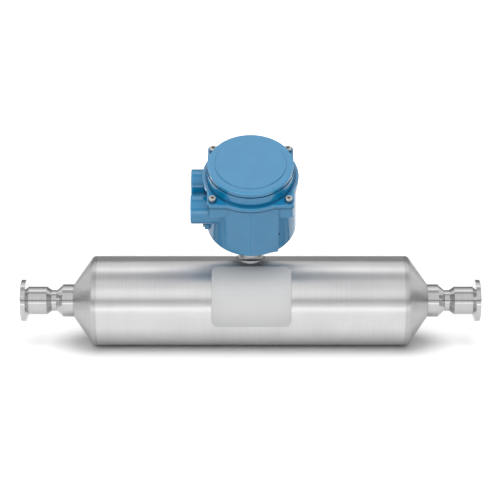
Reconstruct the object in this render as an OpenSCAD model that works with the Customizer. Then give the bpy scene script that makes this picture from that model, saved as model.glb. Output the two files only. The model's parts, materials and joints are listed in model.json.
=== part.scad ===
// Straight-tube coriolis flow meter with a swivelling, angled electronics housing.
// Millimetres. Origin: centre of the inlet sealing face. +X: flow direction. +Z: up.
// The housing's lid faces up and forward (-Y).

/* [Process line] */
// Length from inlet face to outlet face
face_to_face = 551; // [470:1:700]
// Bore of the vibrating flow tube
flow_bore_d = 17; // [12:0.5:18]
// Wall of the flow tube
flow_tube_wall = 1; // [0.8:0.1:1.5]
// Radial gap between pieces that are welded or pressed together
seat_gap = 0.05; // [0.02:0.01:0.1]

/* [Clamp ferrules] */
// Outside diameter of the clamp rim
rim_d = 50.5; // [48:0.5:64]
// Thickness of the clamp rim at its edge
rim_t = 5.8; // [2.8:0.1:8]
// Angle of the rim's back face from square
rim_back_angle = 20; // [10:1:30]
// Bore at the sealing face
ferrule_bore_d = 22.1; // [20:0.1:23]
// Depth of the straight bore behind the sealing face
ferrule_bore_l = 29.5; // [20:0.5:30]
// Outside diameter of the tube behind the rim
ferrule_tube_d = 33.7; // [30:0.1:36]
// Distance from the sealing face to the end of the tube
ferrule_tube_end = 30.9; // [26:0.1:34]
// Outside diameter of the reduced neck
ferrule_neck_d = 25.4; // [24.6:0.1:27]
// Length of the taper from the tube to the neck
ferrule_taper_l = 5.9; // [4:0.1:8]
// Length of the reduced neck
ferrule_neck_l = 5.6; // [4:0.1:12]
// Diameter of the gasket groove in the sealing face
gasket_groove_d = 43.5; // [38:0.1:44]
// Section radius of the gasket groove
gasket_groove_r = 1.5; // [0.8:0.1:1.8]

/* [End adaptors] */
// Outside diameter of the collar
collar_d = 39.4; // [36:0.1:46]
// Length of the taper up to the collar
collar_taper_l = 7.8; // [5:0.1:12]
// Length of the collar
collar_l = 12.9; // [8:0.1:20]
// Outside diameter of the spigot that holds the end cone
spigot_d = 31.8; // [28:0.1:34]
// Length of the spigot inside the end cone
spigot_l = 8; // [4:0.5:14]

/* [Case] */
// Outside diameter of the case tube
case_d = 108; // [96:1:130]
// Wall of the case tube and end cones
case_wall = 2.5; // [1.5:0.1:4]
// Angle of the end cones from the flow axis
cone_angle = 55; // [45:1:65]
// Outside radius of the knuckle between cone and tube
knuckle_r = 6.4; // [4:0.1:10]
// Length of the straight skirt behind the knuckle
skirt_l = 2; // [1:0.5:10]
// Diameter of the wire hole under the neck
wire_hole_d = 22; // [14:1:24]

/* [Inner assembly] */
// Outside diameter of the reference tube
reference_d = 60; // [50:1:70]
// Wall of the reference tube
reference_wall = 2; // [1.5:0.1:4]
// Half length of the reference tube
reference_half = 165; // [120:1:170]
// Thickness of the brace rings
brace_t = 6; // [4:0.5:10]
// Distance from the middle to each pickoff
pickoff_x = 80; // [50:1:110]
// Outside diameter of a coil
coil_d = 22; // [18:1:26]
// Inside diameter of a coil
coil_bore_d = 12; // [11:0.5:14]
// Height of a coil above the reference tube's crown
coil_h = 10; // [6:0.5:12]
// Diameter of a magnet
magnet_d = 8; // [6:0.5:9]
// Width of the wiring strip
strip_w = 6; // [4:0.5:10]
// Thickness of the wiring strip
strip_t = 1; // [0.6:0.1:1.5]

/* [Neck] */
// Outside diameter of the neck
neck_d = 28.5; // [26:0.5:32]
// Diameter of the weld flare on the case
flare_d = 34.4; // [33:0.1:40]
// Height of the weld flare above the case
flare_h = 4; // [2:0.5:6]
// Diameter of the shoulder that carries the housing
shoulder_d = 37; // [34:0.5:44]
// Thickness of the shoulder
shoulder_t = 4; // [2:0.5:6]
// Height of the housing's seat above the flow axis
seat_z = 67.5; // [66:0.5:90]
// Radial running gap between neck and housing
swivel_gap = 0.05; // [0.03:0.01:0.1]
// Outside diameter of the retaining ring
retainer_d = 34; // [32:0.5:36]
// Thickness of the retaining ring
retainer_t = 2; // [1.5:0.1:3]

/* [Housing] */
// Forward tilt of the housing from upright
housing_tilt = 30; // [15:1:35]
// Height of the middle of the housing's floor above the seat
floor_above_seat = 26.1; // [24:0.1:36]
// Outside diameter of the housing body
body_d = 106.6; // [104:0.2:108]
// How far the body sits to the right of the lid's middle
body_offset = 1; // [0:0.1:1.2]
// Height of the housing body up to the lid joint
body_h = 77.2; // [70:0.1:90]
// Inside diameter of the housing body
cavity_d = 93; // [90:0.5:94]
// Thickness of the housing's floor
floor_t = 5.5; // [5:0.1:7]
// Outside radius of the lower edge
body_edge_r = 6; // [2:0.5:8]
// Diameter of the upright socket under the body
socket_d = 46; // [44:1:56]
// Height of the socket's bearing bore
socket_h = 18.5; // [14:0.5:22]
// Diameter of the well over the socket
well_d = 37; // [36:0.5:40]

/* [Prow pad] */
// Reach of the prow's flat nose from the body axis
prow_reach = 53.2; // [52:0.1:58]
// Width of the prow's nose
prow_nose_w = 5.2; // [3:0.1:8]
// Left edge of the prow from the body axis
prow_left = 26; // [18:0.5:32]
// Right edge of the prow from the body axis
prow_right = 32.5; // [20:0.5:36]
// Reach of the prow's left edge
prow_left_reach = 45.4; // [44:0.1:48]
// Reach of the prow's right edge
prow_right_reach = 45.6; // [42:0.1:48]
// Height of the prow's lower end above the floor plane
prow_foot_h = 3.2; // [1:0.1:12]

/* [Cable entries] */
// Outside diameter of an entry boss
entry_boss_d = 34.4; // [30:0.1:38]
// Reach of the entry bosses from the body axis
entry_reach = 70; // [66:0.5:84]
// Distance of each entry from the body's middle
entry_offset = 21.2; // [19.5:0.1:24]
// Height of the entries above the floor
entry_h = 49; // [46:0.5:52]
// Diameter of the threaded hole
entry_thread_d = 18.5; // [16:0.1:22]
// Depth of the threaded hole behind its chamfer
entry_thread_l = 18.5; // [14:0.5:19]
// Diameter of the wire way behind the thread
entry_way_d = 16; // [10:0.5:16]
// Entry chamfer
entry_chamfer = 1.4; // [0.5:0.1:2]

/* [Lid] */
// Thickness of the lid's flange
lid_flange_t = 6.2; // [5:0.1:9]
// Diameter of the lid's round flange
lid_flange_d = 112; // [110:0.5:120]
// Distance of the screws from the middle, sideways
ear_x = 43.8; // [43:0.1:48]
// Distance of the screws from the middle, front to back
ear_y = 41.8; // [41:0.1:48]
// Edge of the flange beyond the screws, sideways
ear_edge_x = 6.4; // [6:0.1:10]
// Edge of the flange beyond the screws, front to back
ear_edge_y = 7.7; // [6:0.1:10]
// Corner radius of the flange around a screw
ear_r = 6; // [4:0.1:6]
// Diameter of the raised crown at its base
crown_base_d = 103; // [100:0.5:106]
// Diameter of the crown at its top
crown_top_d = 100; // [94:0.5:103]
// Height of the crown above the flange
crown_h = 18.4; // [12:0.1:24]
// Height from the crown's top edge down to the step line
crown_step = 5.6; // [3:0.1:8]
// Diameter of the raised disc on top
disc_d = 83; // [60:0.5:90]
// Height of the raised disc
disc_h = 0.9; // [0.4:0.1:2]
// Wall of the lid
lid_wall = 4; // [3:0.1:6]

/* [Fasteners and seals] */
// Thread diameter of the lid screws
lid_screw_d = 5; // [4:0.5:6]
// Head diameter of the lid screws
lid_screw_head_d = 8.5; // [7:0.5:10]
// Head height of the lid screws
lid_screw_head_h = 5; // [3:0.5:6]
// Length of the lid screws under the head
lid_screw_l = 20; // [14:0.5:21]
// Radial gap around a screw in its thread
thread_gap = 0.05; // [0.03:0.01:0.1]
// Radial gap around a screw in a clear hole
clear_gap = 0.25; // [0.1:0.05:0.5]
// Section diameter of the lid seal
seal_section = 1.9; // [1.4:0.1:2]
// Radial gap of a seal in its groove
seal_gap = 0.1; // [0.05:0.01:0.2]
// Thread diameter of the small inner screws
small_screw_d = 4; // [3:0.5:4]
// Thread diameter of the swivel lock screw
lock_screw_d = 6; // [4:1:8]

/* [Electronics] */
// Diameter of the electronics module
module_d = 78; // [70:1:80]
// Thickness of the electronics module
module_t = 16; // [12:0.5:18]
// Height of the module's underside above the floor plane
module_h = 20; // [18:0.5:22]
// Radius of the module's screw circle
module_screw_r = 34; // [30:0.5:34.5]
// Length of the terminal block
terminal_l = 40; // [32:1:44]
// Width of the terminal block
terminal_w = 16; // [12:1:18]
// Height of the terminal block
terminal_h = 13; // [9:0.5:15]
// Number of terminals
terminal_n = 4; // [2:1:5]

/* [Label plate] */
// Length of the label plate along the case
label_l = 94; // [60:0.5:140]
// Height of the label plate as seen square on
label_h = 72; // [50:0.5:80]
// Corner radius of the label plate
label_r = 7; // [3:0.5:12]
// Thickness of the label plate
label_t = 0.4; // [0.3:0.1:1]
// Direction the label plate faces, up from level
label_angle = 24; // [10:1:30]
// Distance of the label plate's middle from the case's middle
label_offset = 1; // [-20:0.5:20]

/* [Hidden] */
$fn = 96;

// colours
steel = [0.74, 0.74, 0.76];
bright_steel = [0.84, 0.84, 0.86];
blue_paint = [0.30, 0.55, 0.72];
copper = [0.72, 0.45, 0.25];
dark_plastic = [0.16, 0.17, 0.18];
green_plastic = [0.20, 0.45, 0.30];
black_rubber = [0.08, 0.08, 0.09];
foil = [0.80, 0.81, 0.83];

// process line
middle_x = face_to_face / 2;
flow_bore_r = flow_bore_d / 2;
flow_tube_r = flow_bore_r + flow_tube_wall;
ferrule_bore_r = ferrule_bore_d / 2;
rim_r = rim_d / 2;
ferrule_tube_r = ferrule_tube_d / 2;
ferrule_neck_r = ferrule_neck_d / 2;
rim_back_l = (rim_r - ferrule_tube_r) * tan(rim_back_angle);
rim_chamfer = 0.6;
neck_start = ferrule_tube_end + ferrule_taper_l;
ferrule_end = neck_start + ferrule_neck_l;
tube_socket_l = 4.9;
tube_shoulder = ferrule_end - tube_socket_l;
collar_r = collar_d / 2;
collar_start = ferrule_end + collar_taper_l;
collar_end = collar_start + collar_l;
spigot_r = spigot_d / 2;

// case
case_r = case_d / 2;
cone_l = (case_r - collar_r) / tan(cone_angle);
knuckle_tangent = knuckle_r * tan(cone_angle / 2);
knuckle_x = collar_end + cone_l + knuckle_tangent;
knuckle_centre_r = case_r - knuckle_r;
case_start = knuckle_x + skirt_l;
cone_inner_r = spigot_r + seat_gap;

// inner assembly
reference_r = reference_d / 2;
reference_bore_r = reference_r - reference_wall;
window_r = coil_bore_d / 2 + 2;
coil_top = reference_r + coil_h;
magnet_top = coil_top - 2;
saddle_depth = 5;

// neck and swivel
neck_r = neck_d / 2;
wire_hole_r = wire_hole_d / 2;
flare_r = flare_d / 2;
neck_bore_r = wire_hole_r;
socket_bore_r = neck_r + swivel_gap;
well_z = seat_z + socket_h;
ring_groove_z = well_z + 0.1;
ring_groove_depth = 1.05;
neck_top = ring_groove_z + retainer_t + 2 * seat_gap + 2.8;
feedthrough_t = 5;
feedthrough_z = neck_top - feedthrough_t - 1;
pin_count = 9;
pin_r = 0.5;
pin_circle_r = 5.5;
pin_reach = 5;
plug_r = 8.5;
plug_h = 8;
plug_z = feedthrough_z + feedthrough_t + 0.1;

// housing
housing_z = seat_z + floor_above_seat;
body_r = body_d / 2;
cavity_r = cavity_d / 2;
well_r = well_d / 2;
socket_r = socket_d / 2;
socket_spread = 9;
socket_spread_z = 6.5;
socket_spread_h = housing_z - seat_z - socket_spread_z;
socket_top_z = housing_z + 18.4;
lug_r = 5.4;
lug_inner = 34.4;
lug_hole_depth = lid_screw_l - lid_flange_t + 0.8;
lug_h = lug_hole_depth + 1.4;
prow_nose_half = prow_nose_w / 2;
entry_boss_r = entry_boss_d / 2;
entry_thread_r = entry_thread_d / 2;
entry_way_r = entry_way_d / 2;
pillar_r = 4.6;
small_screw_r = small_screw_d / 2;
ground_lug_reach = 54;
ground_lug_w = 8;
ground_lug_y = -12;
ground_lug_z = 14;
ground_lug_h = 8;
ground_screw_r = 2;
ground_head_r = 3.4;
ground_head_h = 2.4;
ground_screw_l = 6;
inner_ground_r = cavity_r - 3.5;
inner_ground_angle = 45;
inner_ground_h = module_h + module_t + 2;
inner_ground_l = 8;
ground_pad_wall = 1.5;
ground_pad_half = 5;
wire_seal_hole_r = 1.4;
wire_seal_hole_h = 29.2;
wire_seal_hole_angle = 37.2;
seal_r = seal_section / 2;
seal_depth = seal_section + seal_gap;
seal_circle_r = (cavity_r + body_r - body_offset) / 2;
neck_seal_r = 0.95;
neck_seal_z = seat_z + 6;
neck_seal_groove_r = neck_r + 2 * neck_seal_r + seal_gap;
lock_screw_z = seat_z + 12.5;
lock_screw_r = lock_screw_d / 2;
lock_screw_l = 8;

// lid
lid_top = body_h + lid_flange_t + crown_h;
flange_x = ear_x + ear_edge_x;
flange_y = ear_y + ear_edge_y;
crown_base_r = crown_base_d / 2;
crown_top_r = crown_top_d / 2;
crown_edge_r = 1.6;
crown_draft = 1;
step_w = 1.2;
step_depth = 0.8;
lid_cavity_r = cavity_r - 0.5;
lid_screw_r = lid_screw_d / 2;

// electronics
terminal_x = -4;
terminal_y = -6;
terminal_pitch = terminal_l / terminal_n;
terminal_z = module_h + module_t;
lead_r = 2.6;
lead_gap = 0.3;

// ---------- helpers ----------

// Children are drawn as seen from the inlet face, or mirrored onto the outlet end.
module at_inlet() {
    children();
}
module at_outlet() {
    translate([face_to_face, 0, 0]) mirror([1, 0, 0]) children();
}

// Revolves [radius, distance from the face] points about the flow axis.
module turned(points) {
    rotate([0, 90, 0]) rotate_extrude() polygon(points);
}

// A bar or hole along the flow axis.
module flow_cylinder(radius, from, to) {
    translate([from, 0, 0]) rotate([0, 90, 0]) cylinder(r = radius, h = to - from);
}

// An upright bar or hole over the middle of the case.
module upright(radius, from, to) {
    translate([middle_x, 0, from]) cylinder(r = radius, h = to - from);
}

// The housing's own frame: origin in the middle of its floor, Z along its axis, -Y to the front.
module housing_frame() {
    translate([middle_x, 0, housing_z]) rotate([housing_tilt, 0, 0]) children();
}

// Left or right, and front or back, of each of the four lid screws.
function ear_side(i) = i % 2 == 0 ? -1 : 1;
function ear_end(i) = i < 2 ? -1 : 1;

// Children at one of the four lid screws.
module at_ear(i) {
    translate([ear_side(i) * ear_x, ear_end(i) * ear_y, 0]) children();
}

// Points on an arc about [centre_r, centre_x], between two angles from the radial direction.
function arc_points(centre_r, centre_x, radius, from, to, steps) =
    [for (i = [0:steps]) let (a = from + (to - from) * i / steps)
        [centre_r + radius * cos(a), centre_x - radius * sin(a)]];

// ---------- process line ----------

module ferrule() {
    color(bright_steel) difference() {
        turned([
            [0, 0], [rim_r - rim_chamfer, 0], [rim_r, rim_chamfer], [rim_r, rim_t],
            [ferrule_tube_r, rim_t + rim_back_l], [ferrule_tube_r, ferrule_tube_end],
            [ferrule_neck_r, neck_start], [ferrule_neck_r, ferrule_end], [0, ferrule_end]]);
        flow_cylinder(ferrule_bore_r, -1, ferrule_bore_l);
        turned([[0, ferrule_bore_l - 0.01], [ferrule_bore_r, ferrule_bore_l - 0.01],
            [ferrule_bore_r, ferrule_bore_l], [flow_bore_r, tube_shoulder],
            [flow_bore_r, tube_shoulder + 0.01], [0, tube_shoulder + 0.01]]);
        flow_cylinder(flow_tube_r + seat_gap, tube_shoulder, ferrule_end + 1);
        rotate([0, 90, 0]) rotate_extrude() translate([gasket_groove_d / 2, 0])
            circle(gasket_groove_r, $fn = 32);
    }
}

module adaptor() {
    color(bright_steel) difference() {
        turned([
            [0, ferrule_end], [ferrule_neck_r, ferrule_end], [collar_r, collar_start],
            [collar_r, collar_end], [spigot_r, collar_end], [spigot_r, collar_end + spigot_l],
            [0, collar_end + spigot_l]]);
        flow_cylinder(flow_tube_r + seat_gap, ferrule_end - 1, collar_end + spigot_l + 1);
    }
}

module flow_tube() {
    color(steel) difference() {
        flow_cylinder(flow_tube_r, tube_shoulder, face_to_face - tube_shoulder);
        flow_cylinder(flow_bore_r, tube_shoulder - 1, face_to_face - tube_shoulder + 1);
    }
}

// ---------- case ----------

module end_cone() {
    inner_knuckle_r = knuckle_r - case_wall;
    inner_start = arc_points(knuckle_centre_r, knuckle_x, inner_knuckle_r, cone_angle, 0, 6);
    inner_run = (inner_start[0][0] - cone_inner_r) / tan(cone_angle);
    color(steel) turned(concat(
        [[cone_inner_r, collar_end], [collar_r, collar_end]],
        arc_points(knuckle_centre_r, knuckle_x, knuckle_r, cone_angle, 0, 6),
        [[case_r, case_start], [case_r - case_wall, case_start]],
        [for (i = [6:-1:0]) inner_start[i]],
        [[cone_inner_r, inner_start[0][1] - inner_run]]));
}

module case_tube() {
    color(steel) difference() {
        flow_cylinder(case_r, case_start, face_to_face - case_start);
        flow_cylinder(case_r - case_wall, case_start - 1, face_to_face - case_start + 1);
        upright(wire_hole_r, 0, case_r + 1);
    }
}

module label_plate() {
    half_l = label_l / 2 - label_r;
    half_h = label_h / 2 - label_r;
    color(foil) intersection() {
        difference() {
            flow_cylinder(case_r + seat_gap + label_t, middle_x - label_l, middle_x + label_l);
            flow_cylinder(case_r + seat_gap, middle_x - label_l - 1, middle_x + label_l + 1);
        }
        translate([middle_x + label_offset, 0, 0]) rotate([90 - label_angle, 0, 0])
            linear_extrude(case_d) {
            square([label_l - 2 * label_r, label_h], center = true);
            square([label_l, label_h - 2 * label_r], center = true);
            for (x = [-half_l, half_l], y = [-half_h, half_h]) translate([x, y]) circle(label_r);
        }
    }
}

// ---------- inner assembly ----------

// Stations of the driver and the two pickoffs along the flow axis.
module at_station(offset) {
    translate([middle_x + offset, 0, 0]) children();
}

module reference_tube() {
    color(steel) difference() {
        flow_cylinder(reference_r, middle_x - reference_half, middle_x + reference_half);
        flow_cylinder(reference_bore_r, middle_x - reference_half - 1, middle_x + reference_half + 1);
        for (offset = [-pickoff_x, 0, pickoff_x]) at_station(offset)
            cylinder(r = window_r, h = reference_r + 1);
    }
}

module brace_ring(from) {
    color(steel) difference() {
        flow_cylinder(reference_bore_r - seat_gap, from, from + brace_t);
        flow_cylinder(flow_tube_r + seat_gap, from - 1, from + brace_t + 1);
    }
}

module coil() {
    color(copper) difference() {
        translate([0, 0, reference_r - saddle_depth]) cylinder(d = coil_d, h = coil_h + saddle_depth);
        cylinder(d = coil_bore_d, h = coil_top + 1);
        translate([-coil_d, 0, 0]) rotate([0, 90, 0])
            cylinder(r = reference_r + seat_gap, h = 2 * coil_d);
    }
}

module magnet() {
    color(bright_steel) difference() {
        translate([0, 0, flow_tube_r - magnet_d / 3])
            cylinder(d = magnet_d, h = magnet_top - flow_tube_r + magnet_d / 3);
        translate([-magnet_d, 0, 0]) rotate([0, 90, 0])
            cylinder(r = flow_tube_r + seat_gap, h = 2 * magnet_d);
    }
}

module tube_temperature_sensor() {
    sensor_l = 12;
    sensor_w = 5;
    sensor_h = 3;
    color(bright_steel) difference() {
        translate([middle_x - pickoff_x - 40, -sensor_w / 2, -flow_tube_r - sensor_h])
            cube([sensor_l, sensor_w, sensor_h + 1.5]);
        flow_cylinder(flow_tube_r + seat_gap, 0, face_to_face);
    }
}

// A flat strip over the coils, with a riser to the feedthrough pins.
module sensor_wiring_strip() {
    half_l = pickoff_x + coil_d / 2;
    color(copper) translate([middle_x, 0, 0]) {
        translate([-half_l, -strip_w / 2, coil_top]) cube([2 * half_l, strip_w, strip_t]);
        translate([-strip_t / 2, -strip_w / 2, coil_top])
            cube([strip_t, strip_w, feedthrough_z - pin_reach - coil_top]);
    }
}

// ---------- neck ----------

module neck() {
    flare_bend = 4;
    color(steel) difference() {
        union() {
            upright(neck_r, case_r - saddle_depth, neck_top);
            upright(flare_r, case_r - saddle_depth, case_r + 0.4);
            translate([middle_x, 0, case_r + 0.4]) rotate_extrude() polygon(concat(
                [[0, 0], [flare_r, 0]],
                [for (i = [1:flare_bend]) let (a = 90 * i / flare_bend)
                    [flare_r - (flare_r - neck_r) * sin(a), flare_h * (1 - cos(a))]],
                [[0, flare_h]]));
            upright(shoulder_d / 2, seat_z - shoulder_t, seat_z);
        }
        upright(neck_bore_r, 0, neck_top + 1);
        flow_cylinder(case_r, middle_x - flare_d, middle_x + flare_d);
        translate([middle_x, 0, ring_groove_z]) difference() {
            cylinder(r = neck_r + 1, h = retainer_t + 2 * seat_gap);
            translate([0, 0, -1]) cylinder(r = neck_r - ring_groove_depth, h = retainer_t + 3);
        }
    }
}

module neck_retaining_ring() {
    gap_w = 4;
    color(bright_steel) translate([middle_x, 0, ring_groove_z + seat_gap]) difference() {
        cylinder(d = retainer_d, h = retainer_t);
        translate([0, 0, -1]) cylinder(r = neck_r - ring_groove_depth + seat_gap, h = retainer_t + 2);
        translate([0, -gap_w / 2, -1]) cube([retainer_d, gap_w, retainer_t + 2]);
    }
}

module at_pins() {
    translate([middle_x, 0, 0]) {
        children();
        for (i = [1:pin_count - 1]) rotate([0, 0, i * 360 / (pin_count - 1)])
            translate([pin_circle_r, 0, 0]) children();
    }
}

module feedthrough() {
    color(bright_steel) difference() {
        upright(neck_bore_r - seat_gap, feedthrough_z, feedthrough_z + feedthrough_t);
        at_pins() translate([0, 0, feedthrough_z - 1])
            cylinder(r = pin_r + seat_gap, h = feedthrough_t + 2, $fn = 24);
    }
}

module feedthrough_pins() {
    color(bright_steel) at_pins() translate([0, 0, feedthrough_z - pin_reach])
        cylinder(r = pin_r, h = feedthrough_t + 2 * pin_reach, $fn = 24);
}

module sensor_plug() {
    color(dark_plastic) difference() {
        upright(plug_r, plug_z, plug_z + plug_h);
        at_pins() translate([0, 0, plug_z - 1])
            cylinder(r = pin_r + seat_gap, h = pin_reach + 1.2, $fn = 24);
    }
}

// ---------- housing ----------

module body_outline() {
    translate([body_offset, 0, 0]) rotate_extrude() polygon(concat(
        [[0, 0]],
        [for (i = [0:6]) let (a = 90 * i / 6)
            [body_r - body_edge_r + body_edge_r * sin(a), body_edge_r - body_edge_r * cos(a)]],
        [[body_r, body_h], [0, body_h]]));
}

// A point on the line of the prow's left or right face, at a given distance from the middle.
function left_face(x) = [-x, (x - prow_nose_half) * (prow_reach - prow_left_reach)
    / (prow_left - prow_nose_half) - prow_reach];
function right_face(x) = [x, (x - prow_nose_half) * (prow_reach - prow_right_reach)
    / (prow_right - prow_nose_half) - prow_reach];

// Everything behind the prow's faces, which cut the round body and its pad flat at the front.
module behind_prow() {
    reach = 2 * body_r;
    translate([0, 0, -1]) linear_extrude(body_h + 2) polygon([
        left_face(reach), left_face(prow_nose_half), right_face(prow_nose_half),
        right_face(reach), [reach, reach], [-reach, reach]]);
}

// A block that stands proud of the body, until the prow's faces cut both at once.
module prow_pad() {
    translate([-prow_left, -prow_reach - 1, prow_foot_h])
        cube([prow_left + prow_right, prow_reach + 1 - cavity_r / 2, body_h - prow_foot_h]);
}

// A square lug with a rounded outer corner, in the corner between the body and a screw.
module screw_lug(i) {
    mirror([ear_side(i) < 0 ? 1 : 0, 0, 0]) mirror([0, ear_end(i) < 0 ? 1 : 0, 0])
        translate([0, 0, body_h - lug_h]) {
            translate([ear_x, ear_y, 0]) cylinder(r = lug_r, h = lug_h);
            translate([lug_inner, lug_inner, 0])
                cube([ear_x - lug_inner, ear_y + lug_r - lug_inner, lug_h]);
            translate([lug_inner, lug_inner, 0])
                cube([ear_x + lug_r - lug_inner, ear_y - lug_inner, lug_h]);
        }
}

module entry_boss(y) {
    translate([-entry_reach, y, entry_h]) rotate([0, 90, 0]) {
        cylinder(r1 = entry_boss_r - 1, r2 = entry_boss_r, h = 1);
        translate([0, 0, 1]) cylinder(r = entry_boss_r, h = entry_reach - cavity_r / 2 - 1);
    }
}

module entry_hole(y) {
    translate([-entry_reach, y, entry_h]) rotate([0, 90, 0]) {
        translate([0, 0, -0.01])
            cylinder(r1 = entry_thread_r + entry_chamfer, r2 = entry_thread_r, h = entry_chamfer + 0.01);
        cylinder(r = entry_thread_r, h = entry_chamfer + entry_thread_l);
        cylinder(r = entry_way_r, h = entry_reach - cavity_r / 2);
    }
}

module ground_lug() {
    translate([-ground_lug_reach, ground_lug_y - ground_lug_w, ground_lug_z])
        cube([ground_lug_reach - cavity_r + 8, ground_lug_w, ground_lug_h]);
}

// The outer ground screw's seat, on the lug's end face, with Z out of the seat.
module at_outer_ground() {
    translate([-ground_lug_reach, ground_lug_y - ground_lug_w / 2, ground_lug_z + ground_lug_h / 2])
        rotate([0, -90, 0]) children();
}

// Where the module's three screws stand.
module at_module_screws() {
    for (angle = [90, 210, 330]) rotate([0, 0, angle]) translate([module_screw_r, 0, 0]) children();
}

module at_inner_ground() {
    rotate([0, 0, inner_ground_angle]) translate([inner_ground_r, 0, inner_ground_h]) children();
}

module housing_base() {
    color(blue_paint) difference() {
        union() {
            difference() {
                union() {
                    housing_frame() {
                        intersection() {
                            union() {
                                body_outline();
                                prow_pad();
                            }
                            behind_prow();
                        }
                        for (i = [0:3]) screw_lug(i);
                        for (y = [-entry_offset, entry_offset]) entry_boss(y);
                        ground_lug();
                    }
                    upright(socket_r, seat_z, socket_top_z);
                    translate([middle_x, 0, seat_z + socket_spread_z])
                        cylinder(r1 = socket_r, r2 = socket_r + socket_spread, h = socket_spread_h);
                    upright(socket_r + socket_spread, housing_z - 0.01, socket_top_z);
                }
                housing_frame() translate([0, 0, floor_t]) cylinder(r = cavity_r, h = body_h);
            }
            housing_frame() {
                at_module_screws() translate([0, 0, floor_t - 1])
                    cylinder(r = pillar_r, h = module_h - floor_t + 1);
                intersection() {
                    at_inner_ground() translate([-ground_pad_wall - small_screw_r, -ground_pad_half, 0])
                        cube([cavity_r, 2 * ground_pad_half, inner_ground_l]);
                    cylinder(r = cavity_r + 1, h = body_h);
                }
            }
        }
        upright(socket_bore_r, seat_z - 1, well_z + 1);
        upright(well_r, well_z, socket_top_z + 1);
        translate([middle_x, 0, neck_seal_z])
            cylinder(r = neck_seal_groove_r, h = 2 * (neck_seal_r + seal_gap));
        translate([middle_x, 0, lock_screw_z]) rotate([-90, 0, 0])
            cylinder(r = lock_screw_r + thread_gap, h = socket_r + 10, $fn = 48);
        housing_frame() {
            for (y = [-entry_offset, entry_offset]) entry_hole(y);
            for (i = [0:3]) at_ear(i) translate([0, 0, body_h - lug_hole_depth])
                cylinder(r = lid_screw_r + thread_gap, h = lug_hole_depth + 1, $fn = 48);
            translate([0, 0, body_h - seal_depth]) difference() {
                cylinder(r = seal_circle_r + seal_r + seal_gap, h = seal_depth + 1);
                translate([0, 0, -1]) cylinder(r = seal_circle_r - seal_r - seal_gap, h = seal_depth + 3);
            }
            at_module_screws() translate([0, 0, floor_t + 2])
                cylinder(r = small_screw_r + thread_gap, h = module_h, $fn = 48);
            at_inner_ground() translate([0, 0, 1])
                cylinder(r = small_screw_r + thread_gap, h = inner_ground_l, $fn = 48);
            at_outer_ground() translate([0, 0, -ground_screw_l - 0.5])
                cylinder(r = ground_screw_r + thread_gap, h = ground_screw_l + 1, $fn = 48);
            translate([body_offset, 0, wire_seal_hole_h]) rotate([0, 0, -90 + wire_seal_hole_angle])
                translate([body_r - 4, 0, 0]) rotate([0, 90, 0])
                    cylinder(r = wire_seal_hole_r, h = 6, $fn = 32);
        }
    }
}

module neck_seal() {
    color(black_rubber) translate([middle_x, 0, neck_seal_z + neck_seal_r + seal_gap]) rotate_extrude()
        translate([neck_seal_groove_r - seal_gap / 2 - neck_seal_r, 0]) circle(neck_seal_r, $fn = 32);
}

module swivel_lock_screw() {
    socket_depth = 3;
    start_y = neck_r + 0.1;
    color(bright_steel) translate([middle_x, start_y, lock_screw_z]) rotate([-90, 0, 0]) difference() {
        cylinder(r = lock_screw_r, h = lock_screw_l, $fn = 48);
        translate([0, 0, lock_screw_l - socket_depth])
            cylinder(r = lock_screw_r * 0.55, h = socket_depth + 1, $fn = 6);
    }
}

// ---------- electronics ----------

module electronics_module() {
    color(dark_plastic) housing_frame() difference() {
        union() {
            translate([0, 0, module_h]) cylinder(d = module_d - 2, h = module_t);
            translate([0, 0, module_h + 1]) cylinder(d = module_d, h = module_t - 3);
        }
        at_module_screws() cylinder(r = small_screw_r + clear_gap, h = module_h + module_t + 1, $fn = 48);
    }
}

// A cap screw seated at the origin, with its shank down.
module small_screw(length, radius) {
    head_r = radius * 1.7;
    head_h = radius * 1.2;
    translate([0, 0, -length]) cylinder(r = radius, h = length, $fn = 48);
    difference() {
        cylinder(r = head_r, h = head_h, $fn = 48);
        translate([0, 0, head_h / 2]) cylinder(r = head_r / 2, h = head_h, $fn = 6);
    }
}

module module_screws() {
    color(bright_steel) housing_frame() at_module_screws() translate([0, 0, module_h + module_t])
        small_screw(module_t + module_h - floor_t - 4, small_screw_r);
}

// The lead rises along the swivel axis, so it stays in place as the housing turns.
module module_lead() {
    color(dark_plastic) difference() {
        upright(lead_r, plug_z + plug_h + lead_gap, housing_z + module_h + 20);
        housing_frame() translate([-50, -50, module_h]) cube([100, 100, 100]);
    }
}

module terminal_block() {
    well = terminal_pitch * 0.3;
    color(green_plastic) housing_frame() translate([terminal_x, terminal_y, terminal_z]) difference() {
        cube([terminal_l, terminal_w, terminal_h]);
        for (i = [0:terminal_n - 1]) translate([terminal_pitch * (i + 0.5), 0, 0]) {
            translate([0, terminal_w * 0.6, terminal_h - 4]) cylinder(r = well, h = 5, $fn = 48);
            translate([0, -1, terminal_h * 0.35]) rotate([-90, 0, 0])
                cylinder(r = well * 0.8, h = terminal_w * 0.5, $fn = 48);
        }
    }
}

module terminal_screws() {
    radius = terminal_pitch * 0.3 - seat_gap;
    color(bright_steel) housing_frame() translate([terminal_x, terminal_y, terminal_z + terminal_h - 4])
        for (i = [0:terminal_n - 1]) translate([terminal_pitch * (i + 0.5), terminal_w * 0.6, 0])
            difference() {
            cylinder(r = radius, h = 2.5, $fn = 48);
            translate([-radius - 1, -0.5, 1.5]) cube([2 * radius + 2, 1, 2]);
        }
}

module inner_ground_screw() {
    color(bright_steel) housing_frame() at_inner_ground() translate([0, 0, inner_ground_l])
        small_screw(inner_ground_l - 2, small_screw_r);
}

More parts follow.
